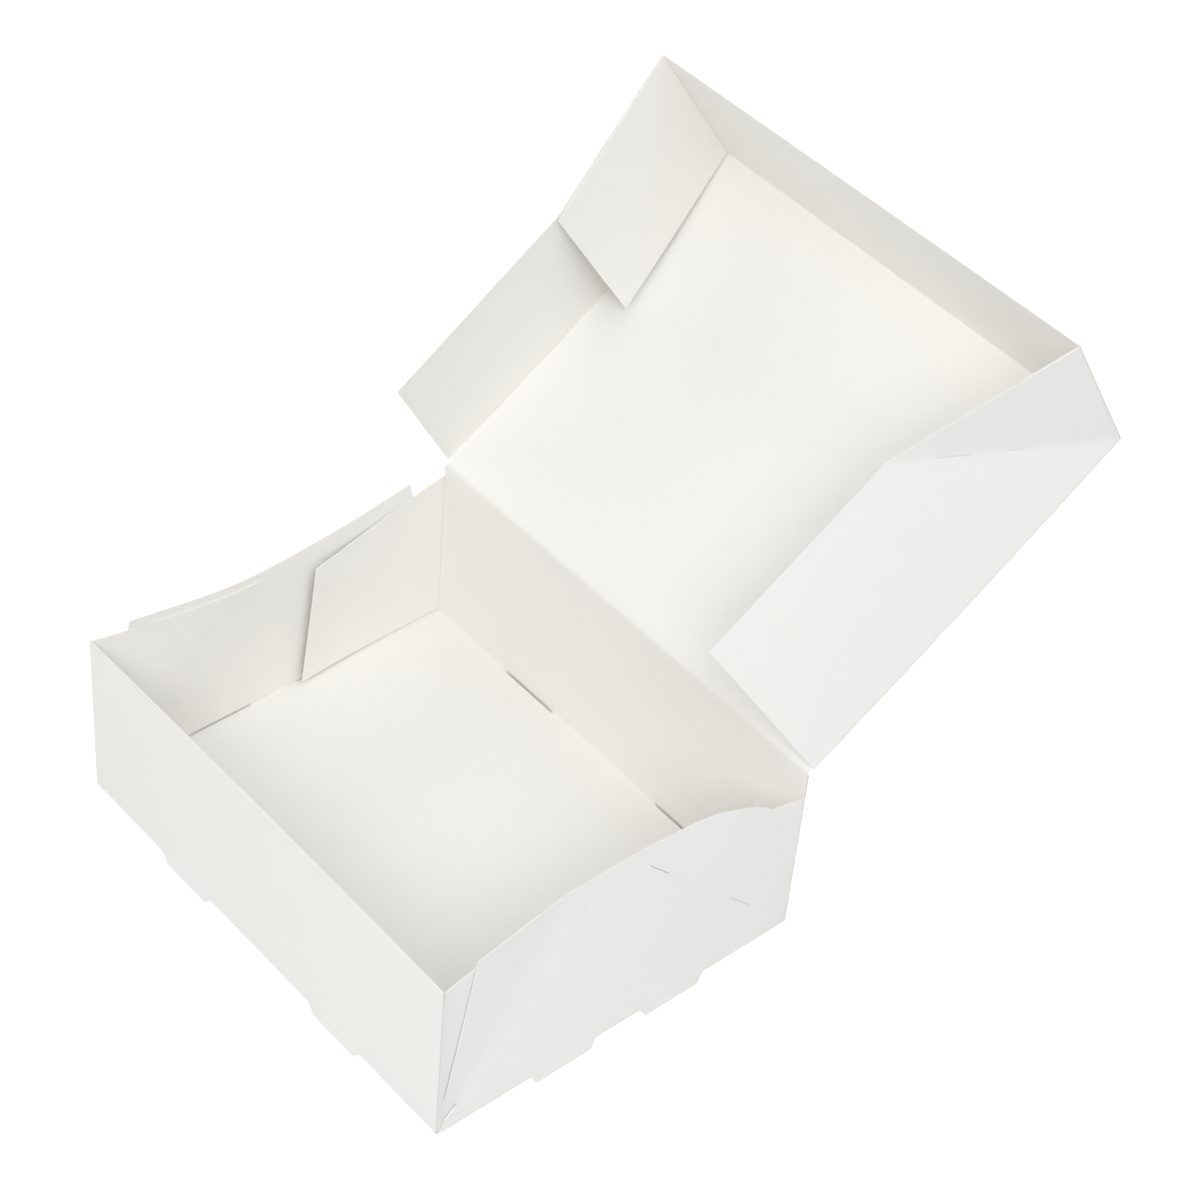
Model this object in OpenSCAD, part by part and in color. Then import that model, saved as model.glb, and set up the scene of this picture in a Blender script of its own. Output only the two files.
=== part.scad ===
// Cake box folded from one sheet of white board, standing open: a tray with
// glued six-fold corners and a hinged lid that is thrown back behind it.
// Each panel of the folded sheet is a thin plate between its folds, set out from
// the flat pattern, and a rounded crease joins it to the next.
// Origin: middle of the underside of the tray's bottom panel. Front is -Y.

/* [Board] */
// Thickness of the board
board_t = 0.5; // [0.35:0.05:0.8]
// Diameter of the rounded ridge where the board is folded
crease_d = 0.7; // [0.65:0.05:1.2]

/* [Tray] */
// Width of the tray, side fold to side fold
tray_w = 254; // [236:1:300]
// Depth of the tray, front fold to back fold
tray_d = 200; // [194:1:260]
// Height of the front wall
front_h = 91; // [80:1:92]
// Height of the hinge crease at the top of the back wall
hinge_h = 95; // [95:1:104]
// Height of the side walls in their raised middle stretch
side_h = 94; // [92.5:0.5:94.5]
// How far the middle of the left side wall leans inwards at its rim
lean_left = 11; // [4:0.5:14]
// How far the middle of the right side wall leans inwards at its rim
lean_right = 9; // [4:0.5:14]

/* [Tray corners] */
// Length of the glued flaps inside the side walls
flap_l = 87; // [60:1:90]
// Rim of the front glued flaps below the rim of the front wall
front_flap_drop = 0.5; // [0:0.5:3]
// Rim of the back glued flaps below the hinge crease
back_flap_drop = 9; // [7:0.5:14]
// Rise of each glued flap's lower edge at its free end
flap_relief = 5; // [2:0.5:8]
// Setback of a side wall's slanted end at the rim
end_setback = 18; // [10:1:24]
// Setback of a side wall's slanted end just above the corner notch
end_foot = 3.5; // [2:0.5:6]
// Depth of the notch at the foot of a side wall's end
notch_l = 11; // [6:0.5:14]
// Height of that notch's tip above the bottom fold
notch_h = 11; // [10:0.5:14]

/* [Feet] */
// Depth of the feet below the bottom panel
foot_h = 5.5; // [3:0.5:8]
// Distance from the middle of the front and back walls to a foot
front_foot_gap = 37; // [20:1:45]
// Length of a foot on the front and back walls
front_foot_l = 36; // [20:1:45]
// Distance from the middle of the side walls to a foot
side_foot_gap = 13; // [8:1:20]
// Length of a foot on the side walls
side_foot_l = 36; // [20:1:45]
// Clearance between a foot's slot and the board
slot_gap = 0.3; // [0.1:0.1:1]

/* [Lid] */
// How far the lid stands above level where it is thrown back
lid_angle = 33; // [5:1:60]
// How much deeper the lid panel is than the tray
lid_over = 1; // [0.8:0.1:3]
// Height of the lid's side flaps
lid_side_h = 88.5; // [80:0.5:92]
// Height of the lid's front flap
lid_front_h = 86; // [76:1:90]
// Inward lean of the left side flap at its rim
lid_lean_left = 17; // [10:1:30]
// Inward lean of the right side flap at its rim
lid_lean_right = 31; // [10:1:32]
// Length of the glued tabs at the ends of the front flap
tab_l = 84; // [50:1:88]
// Setback of the side flaps' hinge ends at the fold
hinge_cut = 1.5; // [1:0.5:4]
// Further setback of the side flaps' hinge ends at the rim
hinge_slant = 3; // [0:0.5:8]

/* [Cut creases] */
// Length of each cut along a diagonal crease
cut_l = 20; // [8:1:24]
// Distance from one cut to the next
cut_pitch = 38; // [30:1:42]
// Distance from the corner to the first cut
cut_start = 30; // [20:1:34]
// Width of a cut
cut_w = 0.4; // [0.2:0.1:0.8]
// Number of cuts along a crease
cut_count = 3; // [1:1:3]

/* [Hidden] */
half_w = tray_w / 2;
half_d = tray_d / 2;
// The bottom panel's middle layer, from which the walls' patterns are measured
fold_z = board_t / 2;
// Glued layers bite this much into each other, so that they are one piece
glue_bite = 0.1;
layer = board_t - glue_bite;
// The back wall stops this far under the hinge line, clear of the lid's crease
hinge_bead_d = crease_d;
hinge_room = 0.3;
lid_d = tray_d + lid_over;
// The feet narrow towards the ground, by this share of their depth at each end
front_foot_slant = foot_h * 0.7;
side_foot_slant = foot_h * 0.5;
// Length over which the rim steps up from the corner to the raised middle stretch
rim_ramp = 1.5;
// Corners that are cut off the free ends of flaps, and off edges that pass close to a fold
snip = 1.5;
// How far the board of an end stays back from the fold beside it
fold_back = 0.5;
// Below this height a side wall's end narrows to its corner
heel_h = 6.5;
// Rise of the upper side of the notch at that end
notch_rise = 9.5;
// Start of the sloping rim of the lid's corner triangles
corner_rim = 8;
// Share of a flap's relief that is already there at its fold
root_share = 0.3;
white = [0.94, 0.93, 0.91];

// Vector helpers
function unit(v) = v / norm(v);
function across(a, b) = unit(cross(a, b));

// A plate of board through points that lie in one plane
module facet(pts) {
    o = pts[0];
    u = unit(pts[1] - o);
    n = across(u, pts[2] - pts[1]);
    v = cross(n, u);
    flat = [for (p = pts) [(p - o) * u, (p - o) * v]];
    multmatrix([
        [u[0], v[0], n[0], o[0]],
        [u[1], v[1], n[1], o[1]],
        [u[2], v[2], n[2], o[2]],
        [0, 0, 0, 1]
    ])
        translate([0, 0, -board_t / 2])
            linear_extrude(height = board_t)
                polygon(flat);
}

// The rounded ridge of a fold from one point to another
module crease(p, q, d = crease_d) {
    r = q - p;
    translate(p)
        rotate([0, acos(r[2] / norm(r)), atan2(r[1], r[0])])
            cylinder(h = norm(r), d = d, $fn = 24);
}

// A folded side in its own frame: X runs along the fold from a corner, Y points
// inwards and Z up. Pattern point (a, s) lies a along the fold and s up the board.
// Up to the diagonal crease the board leans in by lean per unit; the corner
// triangle beyond it turns back upright.
function rise(lean) = sqrt(1 - lean * lean);
function side_pt(p, lean) =
    let (m = min(p[0], p[1]))
    [p[0], m * lean, m * rise(lean) + p[1] - m];
// A glued flap keeps to the plane of the corner triangle over its whole length
function flap_pt(p, lean) = [p[0], p[0] * lean + layer, p[0] * rise(lean) + p[1] - p[0]];

// Cuts along the diagonal crease, through the outer layer only
module crease_cuts(lean, size) {
    e = unit([1, lean, rise(lean)]);
    n = across(e, [0, 0, 1]);
    side = cross(n, e);
    for (i = [0:cut_count - 1]) {
        at = cut_start + i * cut_pitch;
        if (at + cut_l < size * sqrt(2))
            multmatrix([
                [e[0], side[0], n[0], 0],
                [e[1], side[1], n[1], 0],
                [e[2], side[2], n[2], 0],
                [0, 0, 0, 1]
            ])
                translate([at, -cut_w / 2, -glue_bite])
                    cube([cut_l, cut_w, crease_d * 2]);
    }
}

// A flap glued into a corner, with its free end cut slightly back at the rim
module glued_flap(lean, length, height, relief) {
    flat = [
        [0, relief * root_share],
        [length - snip, relief],
        [length, relief + snip],
        [length, height - snip],
        [length - snip, height],
        [0, height]
    ];
    facet([for (p = flat) flap_pt(p, lean)]);
}

// Outline of a foot, from its near end to its far end, below a fold line
function foot(at, length, slant) = [
    [at, 0],
    [at + slant, -foot_h],
    [at + length - slant, -foot_h],
    [at + length, 0]
];

// The corner triangle of a tray side wall, free along its slanted end
module wall_corner(lean, size, low_rim) {
    rim_at = end_setback + rim_ramp;
    flat = [
        [0, 0],
        [end_foot - fold_back, heel_h - end_foot],
        [end_foot, heel_h],
        [notch_l, notch_h],
        [end_foot, notch_h + notch_rise],
        [end_setback, low_rim],
        [rim_at, size - fold_back],
        [rim_at + snip, size],
        [size, size]
    ];
    facet([for (p = flat) side_pt(p, lean)]);
}

// A tray side wall in its own frame, from the front corner to the back corner
module side_wall(lean_at_rim) {
    size = side_h - fold_z;
    lean = lean_at_rim / size;
    near = half_d - side_foot_gap - side_foot_l;
    far = half_d + side_foot_gap;
    panel = concat(
        foot(near, side_foot_l, side_foot_slant),
        foot(far, side_foot_l, side_foot_slant),
        [[tray_d, 0], [tray_d - size, size], [size, size], [0, 0]]
    );
    flat_pt = function (p) [p[0], p[1] * lean, p[1] * rise(lean)];
    difference() {
        union() {
            facet([for (p = panel) flat_pt(p)]);
            wall_corner(lean, size, front_h - 1 - fold_z);
            crease(side_pt([0, 0], lean), side_pt([size - crease_d, size - crease_d], lean));
            translate([tray_d, 0, 0]) mirror([1, 0, 0]) {
                wall_corner(lean, size, hinge_h - back_flap_drop - fold_z);
                crease(side_pt([0, 0], lean), side_pt([size - crease_d, size - crease_d], lean));
            }
            crease([0, 0, 0], [near - slot_gap, 0, 0]);
            crease([near + side_foot_l + slot_gap, 0, 0], [far - slot_gap, 0, 0]);
            crease([far + side_foot_l + slot_gap, 0, 0], [tray_d, 0, 0]);
        }
        crease_cuts(lean, size);
        translate([tray_d, 0, 0]) mirror([1, 0, 0]) crease_cuts(lean, size);
    }
    glued_flap(lean, flap_l, front_h - front_flap_drop - fold_z, flap_relief);
    translate([tray_d, 0, 0]) mirror([1, 0, 0])
        glued_flap(lean, flap_l, hinge_h - back_flap_drop - fold_z, flap_relief);
}

// The front or back wall, standing between its two glued flaps
module end_wall(height, flap_top) {
    in = half_w - layer;
    near = front_foot_gap;
    far = front_foot_gap + front_foot_l;
    outline = concat(
        [[-in, 0]],
        [for (p = foot(-far, front_foot_l, front_foot_slant)) p],
        [for (p = foot(near, front_foot_l, front_foot_slant)) p],
        [[in, 0], [in, flap_top], [in - fold_back, height]],
        [[fold_back - in, height], [-in, flap_top]]
    );
    facet([for (p = outline) [p[0], 0, p[1]]]);
    crease([-in, 0, 0], [-far - slot_gap, 0, 0]);
    crease([slot_gap - near, 0, 0], [near - slot_gap, 0, 0]);
    crease([far + slot_gap, 0, 0], [in, 0, 0]);
    for (s = [-1, 1])
        crease([s * in, 0, flap_relief * root_share], [s * in, 0, flap_top]);
}

// Slots that the feet leave along one edge of the bottom panel
module foot_slots(gap, length, slant) {
    for (s = [-1, 1])
        scale([s, 1, 1])
            translate([0, 0, -board_t])
                linear_extrude(height = 3 * board_t)
                    polygon([
                        [gap - slot_gap, -1],
                        [gap - slot_gap, crease_d / 2],
                        [gap + slant - slot_gap, foot_h + slot_gap],
                        [gap + length - slant + slot_gap, foot_h + slot_gap],
                        [gap + length + slot_gap, crease_d / 2],
                        [gap + length + slot_gap, -1]
                    ]);
}

module bottom_panel() {
    difference() {
        translate([-half_w, -half_d, 0])
            cube([tray_w, tray_d, board_t]);
        for (turn = [0, 180]) {
            rotate([0, 0, turn])
                translate([0, -half_d, 0])
                    foot_slots(front_foot_gap, front_foot_l, front_foot_slant);
            rotate([0, 0, turn + 90])
                translate([0, -half_w, 0])
                    foot_slots(side_foot_gap, side_foot_l, side_foot_slant);
        }
    }
}

module tray() {
    color(white) {
        bottom_panel();
        translate([0, -half_d, fold_z])
            end_wall(front_h - fold_z, front_h - front_flap_drop - fold_z);
        translate([0, half_d, fold_z])
            end_wall(hinge_h - hinge_bead_d / 2 - hinge_room - fold_z, hinge_h - back_flap_drop - fold_z);
        translate([half_w, -half_d, fold_z]) rotate([0, 0, 90]) side_wall(lean_right);
        mirror([1, 0, 0])
            translate([half_w, -half_d, fold_z]) rotate([0, 0, 90]) side_wall(lean_left);
    }
}

// A side flap of the lid in its own frame, from the front corner to the hinge
module lid_side(lean_at_rim) {
    size = lid_side_h;
    lean = lean_at_rim / size;
    hinge_end = lid_d - hinge_cut;
    panel = [
        [0, 0],
        [hinge_end, 0],
        [hinge_end - hinge_slant, size - snip],
        [hinge_end - hinge_slant - snip, size],
        [size, size]
    ];
    corner = [
        [0, 0],
        [size, size],
        [corner_rim, lid_front_h + fold_back],
        [2 * fold_back, lid_front_h - snip],
        [2 * fold_back, snip]
    ];
    flat_pt = function (p) [p[0], p[1] * lean, p[1] * rise(lean)];
    difference() {
        union() {
            facet([for (p = panel) flat_pt(p)]);
            facet([for (p = corner) side_pt(p, lean)]);
            crease([0, 0, 0], [hinge_end, 0, 0]);
            crease([0, 0, 0], side_pt([size - crease_d, size - crease_d], lean));
        }
        crease_cuts(lean, size);
    }
    glued_flap(lean, tab_l, lid_front_h, flap_relief);
}

// The lid lies in its own frame here: X along the hinge, Y away from it, Z inwards
module lid_flat() {
    in = half_w - layer;
    translate([-half_w, 0, -board_t / 2])
        cube([tray_w, lid_d, board_t]);
    crease([-half_w + hinge_cut, 0, 0], [half_w - hinge_cut, 0, 0], hinge_bead_d);
    translate([0, lid_d, 0]) {
        facet([[-in, 0, 0], [in, 0, 0], [in, 0, lid_front_h], [-in, 0, lid_front_h]]);
        crease([-in, 0, 0], [in, 0, 0]);
        for (s = [-1, 1])
            crease([s * in, 0, flap_relief * root_share], [s * in, 0, lid_front_h]);
        translate([half_w, 0, 0]) rotate([0, 0, 90]) mirror([1, 0, 0]) lid_side(lid_lean_right);
        mirror([1, 0, 0])
            translate([half_w, 0, 0]) rotate([0, 0, 90]) mirror([1, 0, 0]) lid_side(lid_lean_left);
    }
}

module lid() {
    color(white)
        translate([0, half_d, hinge_h])
            rotate([lid_angle, 0, 0])
                lid_flat();
}

tray();
lid();
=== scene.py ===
import math

import bmesh
import bpy
from mathutils import Matrix, Vector


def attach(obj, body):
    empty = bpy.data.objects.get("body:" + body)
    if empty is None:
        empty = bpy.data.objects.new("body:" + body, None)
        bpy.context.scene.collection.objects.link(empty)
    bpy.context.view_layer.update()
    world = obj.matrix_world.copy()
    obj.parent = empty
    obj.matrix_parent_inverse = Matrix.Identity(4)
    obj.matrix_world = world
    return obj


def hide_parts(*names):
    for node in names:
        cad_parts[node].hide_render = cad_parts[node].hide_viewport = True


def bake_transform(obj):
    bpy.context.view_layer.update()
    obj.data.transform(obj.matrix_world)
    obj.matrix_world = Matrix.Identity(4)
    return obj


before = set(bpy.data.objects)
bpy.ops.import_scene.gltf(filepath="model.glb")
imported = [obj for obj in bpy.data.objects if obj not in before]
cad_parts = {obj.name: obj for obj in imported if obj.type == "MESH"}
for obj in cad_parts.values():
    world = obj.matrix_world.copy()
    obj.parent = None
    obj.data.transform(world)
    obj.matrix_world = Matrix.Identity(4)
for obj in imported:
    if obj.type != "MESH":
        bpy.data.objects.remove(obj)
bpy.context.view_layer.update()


# The tray: the lower half of one folded sheet of white board. It has a bottom panel, a front and a back wall,
# two side walls that lean in, flaps glued into the corners, and eight feet punched out of the bottom panel.
# All sizes are in mm, and MM turns them into metres.
MM = 0.001
HALF_W = 127.0
HALF_D = 100.0
BOARD_T = 0.5
GLUE_T = 0.06
FOLD_Z = BOARD_T / 2
LAYER = BOARD_T + GLUE_T
WALL_END = HALF_W - LAYER
FRONT_TOP = 90.75
BACK_TOP = 92.75
SIDE_TOP = 94.6
FRONT_BOW = 0.8
RULE_PITCH = 6.35

# Feet, measured from the middle of their wall: where each begins and ends, and how far its ends slant
FOOT_H = 5.5
END_FEET = (37.0, 73.0)
END_FOOT_SLANT = 3.85
SIDE_FEET = (13.0, 49.0)
SIDE_FOOT_SLANT = 2.75
FOOT_CLEAR = 3.0

# The slots that the feet leave in the bottom panel
END_SLOT_D = 1.3
SIDE_SLOT_D = 0.8
SLOT_SLANT = 0.6

# A pressed crease: (distance from the fold, where that line moves to, how far inwards it is pressed)
CREASE_ROWS = [(0.0, 0.17, 0.17), (0.8, 0.8, -0.05), (1.7, 1.7, 0.0)]
LINE_SLACK = 0.01

# Rims of the side walls: (distance from the front corner, lean inwards) along the fold
LEFT_RIM = [(0, 0), (20, 4.0), (40, 7.4), (64, 10.8), (80, 11.6), (106, 10.4), (138, 7.9),
            (177, 2.8), (200, 0)]
RIGHT_RIM = [(0, 0), (20, 3.0), (43, 6.2), (71, 9.8), (89, 10.1), (112, 10.2), (138, 8.4),
             (155, 5.6), (200, 0)]
LEFT_LEAN = max(lean for along, lean in LEFT_RIM) / SIDE_TOP
RIGHT_LEAN = max(lean for along, lean in RIGHT_RIM) / SIDE_TOP
BEND_REACH = 6.0
CREASE_SOFT = 3.0

# Slanted end of a side wall: (distance from the corner, height up the board)
WALL_FOOT = [(0, 0), (2.2, 1.9), (3.6, 6.3), (11.3, 11.1), (3.7, 20.6)]
FRONT_END = WALL_FOOT + [(11.3, 56), (18.3, 90.5), (19.1, SIDE_TOP)]
BACK_END_LEFT = WALL_FOOT + [(12.5, 56), (21.5, 88), (22.5, SIDE_TOP)]
BACK_END_RIGHT = [(0, 0), (2.2, 1.9), (3.7, 20.6), (10, 56), (17, 81), (27, 88.2), (46, SIDE_TOP)]
CORNER_REACH = 60.0

# Cuts along the diagonal creases: how far along the fold each begins and ends. The crease is ruled within
# CREASE_BAND of the diagonal, at CREASE_HALF on both sides of it and along the sides of the cuts. A slit
# takes the faces whose middle lies within SLIT_SHARE of a cut's width.
FRONT_CUTS = [(50.5, 59), (72, 83)]
BACK_CUTS = [(23.3, 35.5), (72, 83)]
CUT_W = 0.26
SLIT_SHARE = 0.6
CREASE_HALF = 3.2
CREASE_BAND = 9.0
CREASE_AIM = 50.0


def lines(low, high, pitch, *exact):
    """Ruling lines about a pitch apart from low to high, with exact ones in place of those close to them"""
    count = round((high - low) / pitch)
    even = [low + (high - low) * i / count for i in range(count + 1)]
    kept = [x for x in even if all(abs(x - y) > pitch / 5 for y in exact)]
    return sorted(set(kept) | set(exact) | {low, high})


def beside(fold, away):
    """The ruling lines of a pressed crease"""
    return [fold + away * row[0] for row in CREASE_ROWS]


def pick(board, test):
    """Selects the faces of the flat pattern whose middle passes the test"""
    shape = bmesh.from_edit_mesh(board.data)
    for face in shape.faces:
        face.select_set(False)
    for face in shape.faces:
        middle = face.calc_center_median()
        if test(middle.x, middle.y):
            face.select_set(True)
    bmesh.update_edit_mesh(board.data)


def rule(board, start, end, test=lambda x, y: True, trim=False):
    """Rules a line over the picked faces; trim drops what lies to the right of it"""
    pick(board, test)
    across = Vector((end[1] - start[1], start[0] - end[0], 0)).normalized()
    bpy.ops.mesh.bisect(plane_co=(*start, 0), plane_no=across, clear_outer=trim)


def cut_out(board, test):
    """Punches the picked faces out of the board"""
    pick(board, test)
    bpy.ops.mesh.delete(type="FACE")


def blank(xs, ys):
    """A flat rectangle of board, ruled along xs and ys and left open for cutting"""
    bpy.ops.object.select_all(action="DESELECT")
    bpy.ops.mesh.primitive_plane_add(size=1)
    board = bpy.context.object
    board.scale = (xs[-1] - xs[0], ys[-1] - ys[0], 1)
    board.location = ((xs[0] + xs[-1]) / 2, (ys[0] + ys[-1]) / 2, 0)
    bpy.ops.object.transform_apply()
    bpy.ops.object.mode_set(mode="EDIT")
    bpy.ops.mesh.select_mode(type="FACE")
    for x in xs[1:-1]:
        rule(board, (x, 0), (x, 1))
    for y in ys[1:-1]:
        rule(board, (0, y), (1, y))
    return board


def creased(value, fold, away):
    """Where a pattern coordinate beside a pressed fold moves to, and how far inwards it is pressed"""
    gap = (value - fold) * away
    for (near, near_to, near_in), (far, far_to, far_in) in zip(CREASE_ROWS, CREASE_ROWS[1:]):
        if near - LINE_SLACK <= gap < far:
            share = max(gap - near, 0) / (far - near)
            moved = near_to + (far_to - near_to) * share
            return fold + away * moved, near_in + (far_in - near_in) * share
    return value, 0.0


def stand(board, place, folds_x=(), folds_y=(), unpressed=lambda x, y: False):
    """Presses the creases of a cut panel, marks those along folds_x for the painted shade in their folds, and
    folds it to its place
    """
    bpy.ops.object.mode_set(mode="OBJECT")
    # A mask for the painted shade: 1 at the pressed folds along folds_x, fading out within the first row
    # beside them
    crease_shade = board.data.attributes.new("crease_shade", "FLOAT", "POINT")
    for point in board.data.vertices:
        x, y = point.co.x, point.co.y
        new_x, new_y, pressed = x, y, 0.0
        if not unpressed(x, y):
            for fold, away in folds_x:
                moved, depth = creased(x, fold, away)
                if moved != x:
                    new_x, pressed = moved, depth
                    crease_shade.data[point.index].value = max(depth, 0) / CREASE_ROWS[0][2]
            for fold, away in folds_y:
                moved, depth = creased(y, fold, away)
                if moved != y:
                    new_y, pressed = moved, depth if pressed == 0.0 else max(depth, pressed)
        point.co = place(new_x, new_y, pressed)
    return board


def bent(line, x):
    """Height at x of a gently bent line through points, which turns over beyond its two ends"""
    def chord(at):
        for end_x, end_y in (line[0], line[-1]):
            if (at - end_x) * (line[0][0] + line[-1][0] - 2 * end_x) < 0:
                return 2 * end_y - chord(2 * end_x - at)
        for (x0, y0), (x1, y1) in zip(line, line[1:]):
            if at <= x1:
                return y0 + (y1 - y0) * (at - x0) / (x1 - x0)
    return (chord(x - BEND_REACH) + 2 * chord(x) + chord(x + BEND_REACH)) / 4


def softer(a, b, soft):
    """The smaller of two values, with a rounded corner between them"""
    gap = max(soft - abs(a - b), 0) / soft
    return min(a, b) - gap * gap * soft / 4


def end_at(outline, height):
    """How far a wall's slanted end lies from its corner at a height up the board"""
    for (x0, y0), (x1, y1) in zip(outline, outline[1:]):
        if height <= y1:
            return x0 + (x1 - x0) * (height - y0) / (y1 - y0)
    return outline[-1][0]


def side_point(along, up, left, inset=0.0):
    """Place of a point of a side wall's pattern, or of a flap glued inside it"""
    lean = LEFT_LEAN if left else RIGHT_LEAN
    reach = bent(LEFT_RIM if left else RIGHT_RIM, along) / lean
    ends = softer(reach, up, CREASE_SOFT)
    inwards = lean * ends + inset
    height = FOLD_Z + up - lean * lean * max(ends, 0) / 2
    x = HALF_W - inwards
    return Vector((-x if left else x, along - HALF_D, height))


def in_foot(x, y, feet, slant, deep):
    """Whether a point lies in the outline of a foot or its slot, y away from the fold"""
    return any(near + slant * abs(y) / deep < x < far - slant * abs(y) / deep for near, far in feet)


def over_foot(feet):
    """A test for where a foot runs straight down through the fold, which isn't pressed there"""
    return lambda x, y: y < FOOT_CLEAR and any(near < x < far for near, far in feet)


def cut_feet(wall, feet, slant):
    """Cuts what hangs below a wall's fold down to its feet"""
    for near, far in feet:
        below = lambda x, y: near < x < far and y < 0
        rule(wall, (near, 0), (near + slant, -FOOT_H), below)
        rule(wall, (far, 0), (far - slant, -FOOT_H), below)
    cut_out(wall, lambda x, y: y < 0 and not in_foot(x, y, feet, slant, FOOT_H))


def cut_crease(board, corner, turn, cuts, heel=0.0):
    """Rules the lines beside the diagonal crease from a corner, and slits the board along its cuts"""
    def on_crease(width):
        return lambda x, y: (abs(abs(x - corner) - y) < width and y > 0
                             and heel < abs(x - corner) < HALF_D)

    for off in (-CREASE_HALF, -CUT_W / 2, CUT_W / 2, CREASE_HALF):
        step = off * math.sqrt(2)
        rule(board, (corner + turn * step, 0), (corner + turn * (step + CREASE_AIM), CREASE_AIM),
             on_crease(CREASE_BAND))
    slit = on_crease(CUT_W * SLIT_SHARE)
    for cut in cuts:
        for at in cut:
            across = (corner + turn * (at + CREASE_BAND), at - CREASE_BAND)
            rule(board, (corner + turn * at, at), across, slit)
    cut_out(board, lambda x, y: slit(x, y) and any(a < (abs(x - corner) + y) / 2 < b for a, b in cuts))


# The bottom panel, with the slots that its feet leave
END_PAIR = [END_FEET, (-END_FEET[1], -END_FEET[0])]
SIDE_PAIR = [SIDE_FEET, (-SIDE_FEET[1], -SIDE_FEET[0])]
foot_x = [x for pair in END_PAIR for x in pair]
foot_y = [y for pair in SIDE_PAIR for y in pair]
bottom_x = lines(-HALF_W, HALF_W, RULE_PITCH, -WALL_END, WALL_END, SIDE_SLOT_D - HALF_W,
                 HALF_W - SIDE_SLOT_D, *foot_x, *beside(-HALF_W, 1), *beside(HALF_W, -1))
bottom_y = lines(-HALF_D, HALF_D, RULE_PITCH, END_SLOT_D - HALF_D, HALF_D - END_SLOT_D, *foot_y,
                 *beside(-HALF_D, 1), *beside(HALF_D, -1))
bottom = blank(bottom_x, bottom_y)
for s in (-1, 1):
    for near, far in END_PAIR:
        strip = lambda x, y: near < x < far and HALF_D - abs(y) < END_SLOT_D and y * s > 0
        rule(bottom, (near, s * HALF_D), (near + SLOT_SLANT, s * (HALF_D - END_SLOT_D)), strip)
        rule(bottom, (far, s * HALF_D), (far - SLOT_SLANT, s * (HALF_D - END_SLOT_D)), strip)
    for near, far in SIDE_PAIR:
        strip = lambda x, y: near < y < far and HALF_W - abs(x) < SIDE_SLOT_D and x * s > 0
        rule(bottom, (s * HALF_W, near), (s * (HALF_W - SIDE_SLOT_D), near + SLOT_SLANT), strip)
        rule(bottom, (s * HALF_W, far), (s * (HALF_W - SIDE_SLOT_D), far - SLOT_SLANT), strip)
cut_out(bottom, lambda x, y: HALF_D - abs(y) < END_SLOT_D
        and in_foot(x, HALF_D - abs(y), END_PAIR, SLOT_SLANT, END_SLOT_D))
cut_out(bottom, lambda x, y: HALF_W - abs(x) < SIDE_SLOT_D
        and in_foot(y, HALF_W - abs(x), SIDE_PAIR, SLOT_SLANT, SIDE_SLOT_D))
tray_parts = [stand(bottom, lambda x, y, pressed: Vector((x, y, FOLD_Z + pressed)),
                    [(-HALF_W, 1), (HALF_W, -1)], [(-HALF_D, 1), (HALF_D, -1)])]

# The front wall, which bows, and the back wall, with their feet
wall_x = [x for x in bottom_x if abs(x) <= WALL_END]
for s, top, bow in ((-1, FRONT_TOP, FRONT_BOW), (1, BACK_TOP, 0.0)):
    wall = blank(wall_x, lines(-FOOT_H, top, RULE_PITCH, *beside(0, 1)))
    cut_feet(wall, END_PAIR, END_FOOT_SLANT)
    bowed = lambda x, y: bow * math.cos(x / HALF_W * math.pi / 2) * max(y, 0) / top
    tray_parts.append(stand(
        wall, lambda x, y, pressed: Vector((x, s * (HALF_D - pressed) + bowed(x, y), FOLD_Z + y)),
        [(-WALL_END, 1), (WALL_END, -1)], [(0, 1)], over_foot(END_PAIR)))

# The side walls, with slanted ends, notches, feet and the cuts along the diagonal creases
side_feet = [(HALF_D + near, HALF_D + far) for near, far in SIDE_PAIR]
for left in (True, False):
    ends = (FRONT_END, BACK_END_LEFT if left else BACK_END_RIGHT)
    heights = sorted({y for end in ends for x, y in end[:-1]})
    wall = blank([y + HALF_D for y in bottom_y],
                 lines(-FOOT_H, SIDE_TOP, RULE_PITCH, *heights, *beside(0, 1)))
    cut_feet(wall, side_feet, SIDE_FOOT_SLANT)
    for outline, cuts, corner, turn in ((ends[0], FRONT_CUTS, 0, 1), (ends[1], BACK_CUTS, 2 * HALF_D, -1)):
        for (x0, y0), (x1, y1) in zip(outline, outline[1:]):
            band = lambda x, y: y0 < y < y1 and abs(x - corner) < CORNER_REACH
            rule(wall, (corner + turn * x0, y0), (corner + turn * x1, y1), band)
        cut_out(wall, lambda x, y: y > 0 and abs(x - corner) < end_at(outline, y))
        cut_crease(wall, corner, turn, cuts)
    tray_parts.append(stand(wall, lambda x, y, pressed: side_point(x, y, left, pressed),
                            folds_y=[(0, 1)], unpressed=over_foot(side_feet)))

# The glued flaps: front or back, left or right, top at the fold and at the free end, length low and high,
# and how far the free end stands off the wall
GLUED_FLAPS = [
    (-1, True, 90.2, 89.8, 86, 87, 0.0),
    (-1, False, 90.2, 89.8, 86, 87, 0.0),
    (1, True, 87.2, 82.0, 85.6, 85.4, 3.0),
    (1, False, 79.5, 85.5, 86, 85.5, 0.6),
]
FLAP_ROOT = 1.0
FLAP_RELIEF = 1.6

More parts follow.
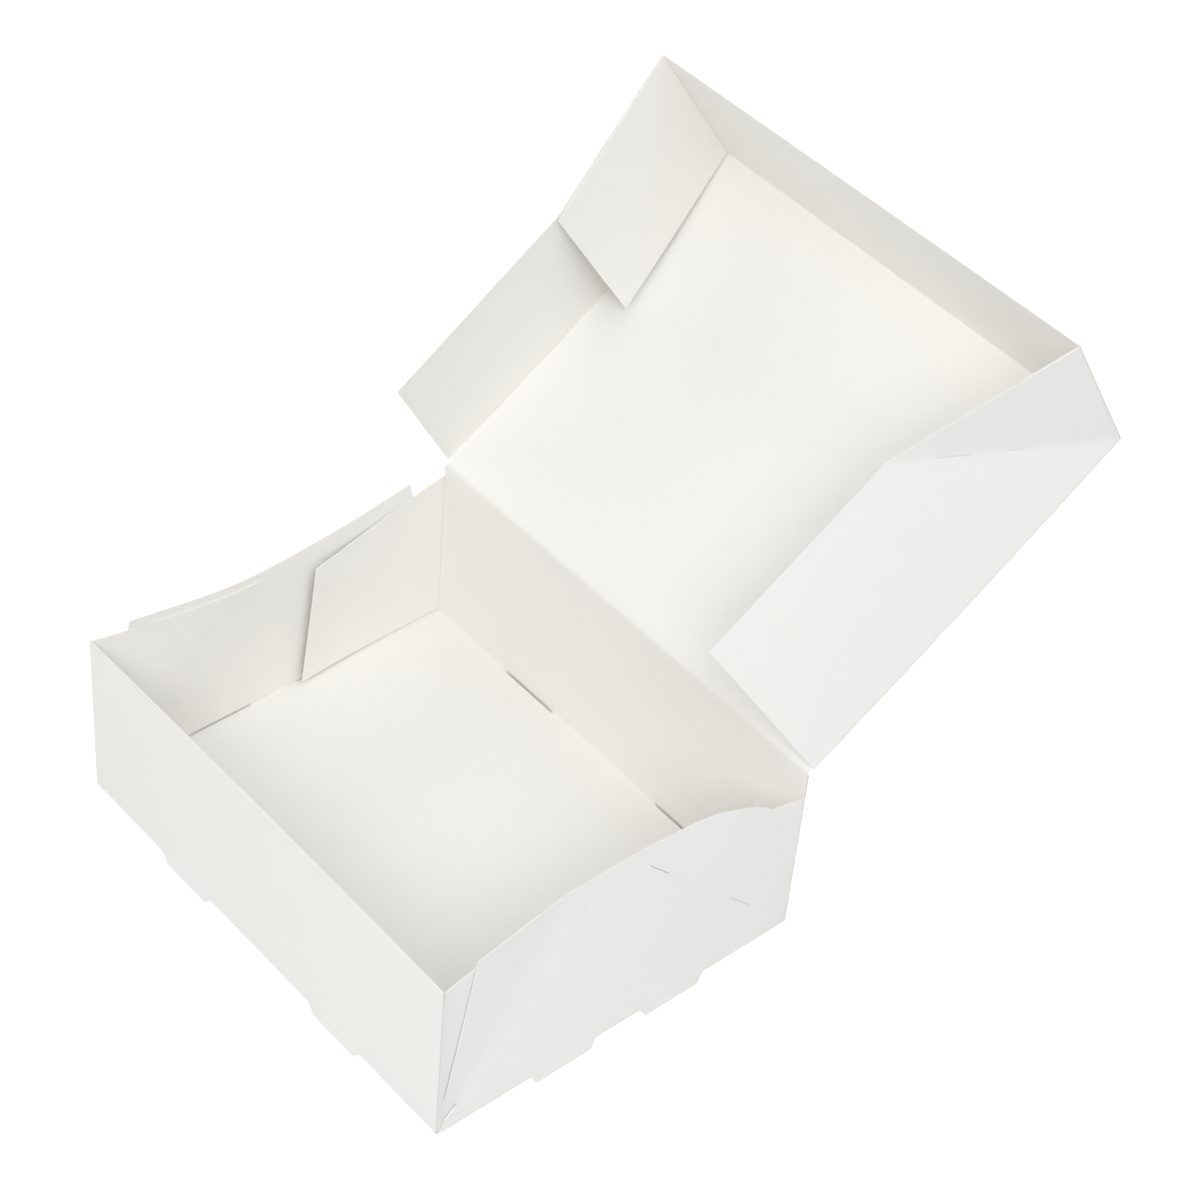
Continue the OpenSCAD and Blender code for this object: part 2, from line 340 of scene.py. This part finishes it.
# The gap behind a front flap at the wall's slanted end: its width, and where along the flap it starts,
# how soon it is fully open, and where it has closed again
END_GAP = 0.55
END_GAP_START = 0.8
END_GAP_RISE = 2.0
END_GAP_END = 45.0
for s, left, fold_top, free_top, low_l, high_l, stand_off in GLUED_FLAPS:
    wall_top = FRONT_TOP if s < 0 else BACK_TOP
    long = max(low_l, high_l)
    flap = blank(lines(0, long, RULE_PITCH, *beside(0, 1)),
                 [y for y in lines(-FOOT_H, wall_top, RULE_PITCH, *beside(0, 1)) if y >= 0])
    rule(flap, (0, fold_top), (-high_l, 2 * fold_top - free_top), trim=True)
    rule(flap, (0, FLAP_ROOT), (long, FLAP_RELIEF), trim=True)
    rule(flap, (low_l, 0), (high_l, wall_top), trim=True)
    end_gap = END_GAP if s < 0 else 0.0
    opening = lambda x: min(max(x - END_GAP_START, 0) / END_GAP_RISE, 1) * max(1 - x / END_GAP_END, 0)
    gap = lambda x: end_gap * opening(x) + stand_off * (x / long) ** 3
    tray_parts.append(stand(flap, lambda x, y, pressed: side_point(
        x if s < 0 else 2 * HALF_D - x, y, left, LAYER + pressed + gap(x)), [(0, 1)]))

# The finish of the board, on both faces and its edges: white with a faint cloudiness, short fibres that also
# make its grain,
# and painted shade: a darker line along the pressed folds, where the shade of the crease falls
BOARD_WHITE = (0.918, 0.911, 0.889, 1)
BOARD_CLOUD = (0.905, 0.896, 0.872, 1)
CLOUD_AMOUNT = 0.5
FIBRE_TINT = (0.9, 0.88, 0.84, 1)
FIBRE_AMOUNT = 0.2
FIBRE_SCALE = (420, 1500, 900)
# Painted shade along the pressed folds: its tint, its strength and how narrow its line is
CREASE_SHADE_TINT = (0.5, 0.46, 0.4, 1)
CREASE_SHADE_AMOUNT = 0.5
CREASE_SHADE_SHARPNESS = 2.0
GRAIN_AMOUNT = 0.35
GRAIN_DEPTH = 0.00004
BOARD_ROUGHNESS = 0.62
ROUGHNESS_SPREAD = 0.12
BOARD_SPECULAR = 0.25


def add(tree, kind, **values):
    """Adds a shader node and fills its plain inputs by name"""
    node = tree.nodes.new(kind)
    for key, value in values.items():
        name = key.replace("_", " ")
        if name in node.inputs:
            node.inputs[name].default_value = value
        else:
            setattr(node, key, value)
    return node


def figured(tree, operation, value, *numbers):
    """A value that changes over the surface, worked on with fixed numbers"""
    node = add(tree, "ShaderNodeMath", operation=operation)
    tree.links.new(value, node.inputs[0])
    for socket, number in zip(node.inputs[1:], numbers):
        socket.default_value = number
    return node.outputs[0]


def mixed(tree, blend, tint, share):
    """A colour mix towards a tint by a share that changes over the surface"""
    node = add(tree, "ShaderNodeMix", data_type="RGBA", blend_type=blend)
    node.inputs["B"].default_value = tint
    tree.links.new(share, node.inputs["Factor"])
    return node


white_board = bpy.data.materials.new("white_board")
white_board.use_nodes = True
board_tree = white_board.node_tree
board_shader = board_tree.nodes["Principled BSDF"]
board_shader.inputs["Specular IOR Level"].default_value = BOARD_SPECULAR
board_place = add(board_tree, "ShaderNodeTexCoord")
cloud = add(board_tree, "ShaderNodeTexNoise", Scale=22.0, Detail=3.0, Roughness=0.6)
board_tree.links.new(board_place.outputs["Object"], cloud.inputs["Vector"])
clouded = mixed(board_tree, "MIX", BOARD_CLOUD,
                figured(board_tree, "MULTIPLY", cloud.outputs["Fac"], CLOUD_AMOUNT))
clouded.inputs["A"].default_value = BOARD_WHITE
stretch = add(board_tree, "ShaderNodeMapping", Scale=FIBRE_SCALE)
board_tree.links.new(board_place.outputs["Object"], stretch.inputs["Vector"])
fibre = add(board_tree, "ShaderNodeTexNoise", Scale=1.0, Detail=4.0, Roughness=0.65)
board_tree.links.new(stretch.outputs["Vector"], fibre.inputs["Vector"])
fibred = mixed(board_tree, "MULTIPLY", FIBRE_TINT,
               figured(board_tree, "MULTIPLY", fibre.outputs["Fac"], FIBRE_AMOUNT))
board_tree.links.new(clouded.outputs["Result"], fibred.inputs["A"])
# Painted shade: the colour is darkened along the pressed folds, as the shade in a crease
crease_shade_mask = add(board_tree, "ShaderNodeAttribute", attribute_name="crease_shade")
crease_shade_line = figured(board_tree, "POWER", crease_shade_mask.outputs["Fac"], CREASE_SHADE_SHARPNESS)
crease_shaded = mixed(board_tree, "MULTIPLY", CREASE_SHADE_TINT, figured(board_tree, "MULTIPLY", crease_shade_line, CREASE_SHADE_AMOUNT))
board_tree.links.new(fibred.outputs["Result"], crease_shaded.inputs["A"])
board_tree.links.new(crease_shaded.outputs["Result"], board_shader.inputs["Base Color"])
rough = figured(board_tree, "MULTIPLY_ADD", fibre.outputs["Fac"], ROUGHNESS_SPREAD, BOARD_ROUGHNESS)
board_tree.links.new(rough, board_shader.inputs["Roughness"])
grain = add(board_tree, "ShaderNodeBump", Strength=GRAIN_AMOUNT, Distance=GRAIN_DEPTH)
board_tree.links.new(fibre.outputs["Fac"], grain.inputs["Height"])
board_tree.links.new(grain.outputs["Normal"], board_shader.inputs["Normal"])

WELD_REACH = 0.1
SMOOTH_ANGLE = math.radians(32)


def glue_up(name, parts, spot, inwards):
    """Welds the panels at their folds, turns the face at a spot inwards, and gives the sheet its
    thickness and its finish"""
    bpy.ops.object.select_all(action="DESELECT")
    for part in parts:
        part.select_set(True)
    bpy.context.view_layer.objects.active = parts[0]
    if len(parts) > 1:
        bpy.ops.object.join()
    sheet = bpy.context.object
    sheet.name = sheet.data.name = name
    bpy.ops.object.mode_set(mode="EDIT")
    bpy.ops.mesh.select_all(action="SELECT")
    bpy.ops.mesh.remove_doubles(threshold=WELD_REACH)
    bpy.ops.mesh.normals_make_consistent(inside=False)
    bpy.ops.object.mode_set(mode="OBJECT")
    near = min(sheet.data.polygons, key=lambda face: (face.center - spot).length)
    if near.normal.dot(inwards) < 0:
        sheet.data.flip_normals()
    board = sheet.modifiers.new("board", "SOLIDIFY")
    board.thickness = BOARD_T
    board.offset = 0
    board.use_even_offset = True
    bpy.ops.object.modifier_apply(modifier="board")
    sheet.data.transform(Matrix.Scale(MM, 4))
    bpy.ops.object.shade_smooth_by_angle(angle=SMOOTH_ANGLE)
    sheet.data.materials.append(white_board)
    return sheet


tray_sheet = glue_up("tray_sheet", tray_parts, Vector((0, 0, FOLD_Z)), Vector((0, 0, 1)))
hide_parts("tray")
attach(tray_sheet, "tray")


# The lid: the upper half of the same sheet, thrown back on its fold. It has a panel, a front flap and two
# side flaps that lean in, joined at the front corners by tabs glued inside the side flaps' corner triangles.
HINGE_Z = 95.0
HINGE_STRIP = 2.0
HINGE_CUT = 1.5
LID_ANGLE = 33.0
LID_TWIST = 1.1
LID_D = 199.9
LID_BULGE = 3.2
BULGE_MIDDLE = 0.7
BULGE_TILT = 0.3

# The lid's flaps: the height of both side flaps, and (left, right) values of the front flap's height, the
# side flaps' leans and the slant of their ends beside the hinge
LID_SIDE_H = 88.3
LID_FRONT_H = (87.0, 82.8)
LID_LEANS = (17.0 / LID_SIDE_H, 30.0 / LID_SIDE_H)
HINGE_SLANT = (3.0, 1.6)

# The front corners: how the side flap's rim starts above the front flap's, what is trimmed off its end,
# the cuts along its diagonal crease, and the tab glued behind it
LID_RIM_RISE = 0.6
LID_RIM_BAND = 70.0
LID_END_TRIM = 0.9
LID_END_BAND = 3.0
LID_HEEL = 1.0
LID_CUTS = [(38, 44.5), (58, 71)]
TAB_L = 89.4
TAB_DROP = 0.5
TAB_RELIEF = 5.0


def lid_point(x, out, up):
    """A point of the lid from its flat frame: across the hinge, away from it, and inwards"""
    angle = math.radians(LID_ANGLE - LID_TWIST * x / HALF_W)
    low = max(0.0, 1 - up / LID_SIDE_H)
    up -= LID_BULGE * low * math.sin(math.pi * out / LID_D) * (BULGE_MIDDLE - BULGE_TILT * x / HALF_W)
    return Vector((x, HALF_D + out * math.cos(angle) - up * math.sin(angle),
                   HINGE_Z + out * math.sin(angle) + up * math.cos(angle)))


def lid_side_point(along, up, left, inset=0.0, tab=False):
    """A point of a side flap, or of a tab glued inside it, measured from the lid's front corner"""
    lean = LID_LEANS[0] if left else LID_LEANS[1]
    ends = along if tab else softer(along, up, CREASE_SOFT)
    x = HALF_W - lean * ends - inset
    height = up - (1 - math.sqrt(1 - lean * lean)) * ends
    return lid_point(-x if left else x, LID_D - along, height)


# The lid panel and the front flap
lid_y = lines(HINGE_STRIP, LID_D, RULE_PITCH, *beside(LID_D, -1))
lid_x = lines(-HALF_W, HALF_W, RULE_PITCH, -WALL_END, WALL_END, *beside(-HALF_W, 1), *beside(HALF_W, -1))
lid_parts = [stand(blank(lid_x, lid_y), lid_point, [(-HALF_W, 1), (HALF_W, -1)], [(LID_D, -1)])]
front_lines = lines(0, max(LID_FRONT_H), RULE_PITCH, *beside(0, 1))
front_flap = blank([x for x in lid_x if abs(x) <= WALL_END], front_lines)
rule(front_flap, (WALL_END, LID_FRONT_H[1]), (-WALL_END, LID_FRONT_H[0]), trim=True)
lid_parts.append(stand(front_flap, lambda x, y, pressed: lid_point(x, LID_D - pressed, y),
                       [(-WALL_END, 1), (WALL_END, -1)], [(0, 1)]))

# The side flaps and the tabs that are glued behind their corner triangles
for left, front_h, slant in ((True, LID_FRONT_H[0], HINGE_SLANT[0]), (False, LID_FRONT_H[1], HINGE_SLANT[1])):
    corner_h = front_h + LID_RIM_RISE
    corner_rim = lambda x: corner_h + (LID_SIDE_H - front_h - LID_RIM_RISE) * x / LID_SIDE_H
    flap = blank([LID_D - y for y in reversed(lid_y)], lines(0, LID_SIDE_H, RULE_PITCH, *beside(0, 1)))
    rule(flap, (LID_END_TRIM, 0), (LID_END_TRIM, 1), lambda x, y: x < LID_END_BAND)
    rule(flap, (0, corner_rim(0)), (LID_SIDE_H, LID_SIDE_H), lambda x, y: x < LID_SIDE_H and y > LID_RIM_BAND)
    cut_out(flap, lambda x, y: x < LID_SIDE_H and y > corner_rim(x))
    cut_out(flap, lambda x, y: x < LID_END_TRIM and y > LID_HEEL)
    rule(flap, (LID_D - HINGE_STRIP, 0), (LID_D - HINGE_STRIP - slant, LID_SIDE_H), trim=True)
    cut_crease(flap, 0, 1, LID_CUTS, LID_HEEL)
    lid_parts.append(stand(flap, lambda x, y, pressed: lid_side_point(x, y, left, pressed),
                           folds_y=[(0, 1)]))

    tab = blank(lines(0, TAB_L, RULE_PITCH, *beside(0, 1)), front_lines)
    rule(tab, (TAB_L, LID_FRONT_H[0] - TAB_DROP), (0, front_h), trim=True)
    rule(tab, (0, FLAP_ROOT), (TAB_L, TAB_RELIEF), trim=True)
    lid_parts.append(stand(tab, lambda x, y, pressed: lid_side_point(x, y, left, LAYER + pressed, tab=True),
                           [(0, 1)]))

lid_sheet = glue_up("lid_sheet", lid_parts, lid_point(0, LID_D / 2, 0),
                    lid_point(0, LID_D / 2, 1) - lid_point(0, LID_D / 2, 0))
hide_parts("lid")
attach(lid_sheet, "lid")


# The hinge fold: the crease between the back wall and the lid panel, which is part of the same sheet.
# It is a narrow strip of the board, bent from the back wall up into the lid panel.
HINGE_PITCH = 0.5


def hinge_point(x, y):
    """A point of the strip, which leaves the back wall upwards and turns into the lid panel"""
    share = (y + HINGE_STRIP) / (2 * HINGE_STRIP)
    low = Vector((x, HALF_D, HINGE_Z - HINGE_STRIP))
    fold = Vector((x, HALF_D, HINGE_Z))
    high = lid_point(x, HINGE_STRIP, 0)
    return low * (1 - share) ** 2 + fold * 2 * share * (1 - share) + high * share ** 2


hinge_strip = blank(lines(HINGE_CUT - HALF_W, HALF_W - HINGE_CUT, RULE_PITCH),
                    lines(-HINGE_STRIP, HINGE_STRIP, HINGE_PITCH))
hinge_fold = glue_up("hinge_fold", [stand(hinge_strip, lambda x, y, pressed: hinge_point(x, y))],
                     Vector((0, HALF_D, HINGE_Z)), Vector((0, -1, 1)))
tuple(lid_point(0, HINGE_STRIP, 0) * MM)
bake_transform(hinge_fold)


# The stand: a plain pale floor under the feet, which keeps the box's own soft shadow, and a white surround.
# Where they are seen directly, both are lifted to white, the floor more so the further it lies from the box.
FLOOR_Z = (FOLD_Z - FOOT_H) * MM
FLOOR_SIZE = 12
FLOOR_COLOR = (0.8, 0.81, 0.83, 1)
LIFT_NEAR = 0.62
LIFT_FAR = 1.0
NEAR = 0.5
FAR = 1.6
SURROUND_COLOR = (1, 0.995, 0.985, 1)
SURROUND_LEVEL = 0.27
WHITE = (1, 1, 1, 1)


def seen_directly(tree):
    """1 for rays from the camera, in a mirror or through glass, and 0 for the light on the object"""
    path = add(tree, "ShaderNodeLightPath")
    mirrored = add(tree, "ShaderNodeMath", operation="MAXIMUM")
    through = add(tree, "ShaderNodeMath", operation="MAXIMUM")
    tree.links.new(path.outputs["Is Camera Ray"], mirrored.inputs[0])
    tree.links.new(path.outputs["Is Glossy Ray"], mirrored.inputs[1])
    tree.links.new(mirrored.outputs[0], through.inputs[0])
    tree.links.new(path.outputs["Is Transmission Ray"], through.inputs[1])
    return through.outputs[0]


bpy.ops.object.select_all(action="DESELECT")
bpy.ops.mesh.primitive_plane_add(size=FLOOR_SIZE, location=(0, 0, FLOOR_Z))
floor = bpy.context.object
floor.name = "floor"
bpy.ops.object.transform_apply()
floor_paper = bpy.data.materials.new("floor_paper")
floor_paper.use_nodes = True
floor_tree = floor_paper.node_tree
floor_tree.nodes.clear()
paper = add(floor_tree, "ShaderNodeBsdfDiffuse", Color=FLOOR_COLOR)
glow = add(floor_tree, "ShaderNodeEmission", Color=WHITE)
lift = add(floor_tree, "ShaderNodeMath", operation="MULTIPLY")
floor_place = add(floor_tree, "ShaderNodeTexCoord")
distance = add(floor_tree, "ShaderNodeVectorMath", operation="LENGTH")
whiter = add(floor_tree, "ShaderNodeMapRange", From_Min=NEAR, From_Max=FAR, To_Min=LIFT_NEAR, To_Max=LIFT_FAR)
both = add(floor_tree, "ShaderNodeAddShader")
floor_out = add(floor_tree, "ShaderNodeOutputMaterial")
floor_tree.links.new(floor_place.outputs["Object"], distance.inputs[0])
floor_tree.links.new(distance.outputs["Value"], whiter.inputs["Value"])
floor_tree.links.new(seen_directly(floor_tree), lift.inputs[0])
floor_tree.links.new(whiter.outputs["Result"], lift.inputs[1])
floor_tree.links.new(lift.outputs[0], glow.inputs["Strength"])
floor_tree.links.new(paper.outputs[0], both.inputs[0])
floor_tree.links.new(glow.outputs[0], both.inputs[1])
floor_tree.links.new(both.outputs[0], floor_out.inputs["Surface"])
floor.data.materials.append(floor_paper)

world = bpy.data.worlds.new("white_surround")
bpy.context.scene.world = world
world.use_nodes = True
world_tree = world.node_tree
world_tree.nodes.clear()
surround = add(world_tree, "ShaderNodeBackground", Strength=SURROUND_LEVEL, Color=SURROUND_COLOR)
backdrop = add(world_tree, "ShaderNodeBackground", Strength=1.0, Color=WHITE)
world_mix = add(world_tree, "ShaderNodeMixShader")
world_out = add(world_tree, "ShaderNodeOutputWorld")
world_tree.links.new(seen_directly(world_tree), world_mix.inputs["Fac"])
world_tree.links.new(surround.outputs[0], world_mix.inputs[1])
world_tree.links.new(backdrop.outputs[0], world_mix.inputs[2])
world_tree.links.new(world_mix.outputs[0], world_out.inputs["Surface"])


# The light: five square soft lamps around the box, which all point at its middle. Each is given by its
# name, place, width, power and colour, in metres and watts.
LAMP_AIM = (0, 0.08, 0.1)
LAMPS = [
    ("view_lamp", (1.06, -0.95, 1.45), 1.0, 18.0, (1, 0.995, 0.985)),
    ("left_lamp", (-1.61, -0.85, 0.85), 2.0, 12.0, (1, 0.982, 0.95)),
    ("front_lamp", (0, -1.65, 1.1), 1.6, 4.3, (1, 0.985, 0.96)),
    ("back_lamp", (0, 1.31, 1.68), 2.0, 10.5, (1, 0.99, 0.97)),
    ("right_lamp", (1.23, 0.08, 1.68), 1.4, 7.0, (0.92, 0.96, 1)),
]
for name, place, width, power, color in LAMPS:
    light = bpy.data.lights.new(name, "AREA")
    light.shape = "SQUARE"
    light.size = width
    light.energy = power
    light.color = color
    lamp = bpy.data.objects.new(name, light)
    bpy.context.scene.collection.objects.link(lamp)
    lamp.location = place
    lamp.rotation_euler = (Vector(LAMP_AIM) - Vector(place)).to_track_quat("-Z", "Y").to_euler()


# The camera: the photograph's view through a long lens, from the front right and above the box.
# Its place is given by the point that it looks at, its distance from there, and three angles.
VIEW_AZ = math.radians(45.92)
VIEW_EL = math.radians(42.52)
VIEW_ROLL = math.radians(5.54)
VIEW_TARGET = Vector((-0.005, 0.0922, 0.10185))
VIEW_DISTANCE = 1.420
VIEW_LENS = 94.70
VIEW_SENSOR = 36
back = Vector((math.sin(VIEW_AZ) * math.cos(VIEW_EL), -math.cos(VIEW_AZ) * math.cos(VIEW_EL),
               math.sin(VIEW_EL)))
level = (-back).cross(Vector((0, 0, 1))).normalized()
upright = level.cross(-back)
right = level * math.cos(VIEW_ROLL) + upright * math.sin(VIEW_ROLL)
up = upright * math.cos(VIEW_ROLL) - level * math.sin(VIEW_ROLL)
camera_data = bpy.data.cameras.new("photo_camera")
camera_data.lens = VIEW_LENS
camera_data.sensor_width = VIEW_SENSOR
camera = bpy.data.objects.new("photo_camera", camera_data)
bpy.context.scene.collection.objects.link(camera)
turned = Matrix((right, up, back)).transposed().to_4x4()
camera.matrix_world = Matrix.Translation(VIEW_TARGET + back * VIEW_DISTANCE) @ turned
bpy.context.scene.camera = camera
bpy.context.scene.view_settings.view_transform = "Standard"
